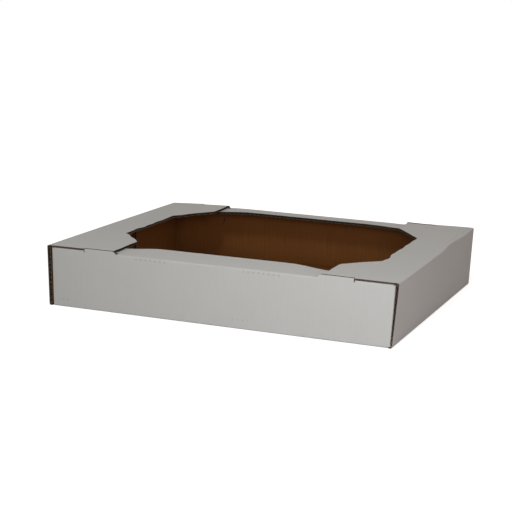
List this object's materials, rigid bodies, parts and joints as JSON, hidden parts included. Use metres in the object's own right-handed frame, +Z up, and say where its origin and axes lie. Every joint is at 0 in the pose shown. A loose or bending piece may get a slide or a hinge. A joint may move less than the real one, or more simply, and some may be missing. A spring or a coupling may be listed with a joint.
{
  "type": "cardboard tray box",
  "caption": "Shallow rectangular tray box folded from corrugated board, with an eight-sided mouth framed by two locking end flaps.",
  "frame": {"origin": "middle of the underside, on the surface that the box stands on", "axes": "+X along the length towards the right end flap, +Y along the width towards the back long wall, +Z up out of the mouth"},
  "size_m": [0.4, 0.31, 0.068],
  "materials": {
    "corrugated_board": "matt white liner outside, brown kraft liner inside"
  },
  "bodies": {
    "tray": {"tray": "corrugated_board"},
    "left_end_flap": {"left_end_flap": "corrugated_board"},
    "right_end_flap": {"right_end_flap": "corrugated_board"}
  },
  "joints": [
    {"name": "left_flap_crease", "type": "hinge", "parent": "tray", "child": "left_end_flap", "pos_m": [-0.2, 0, 0.068], "axis": [0, -1, 0], "range_deg": [0, 180]},
    {"name": "right_flap_crease", "type": "hinge", "parent": "tray", "child": "right_end_flap", "pos_m": [0.2, 0, 0.068], "axis": [0, 1, 0], "range_deg": [0, 180]}
  ]
}
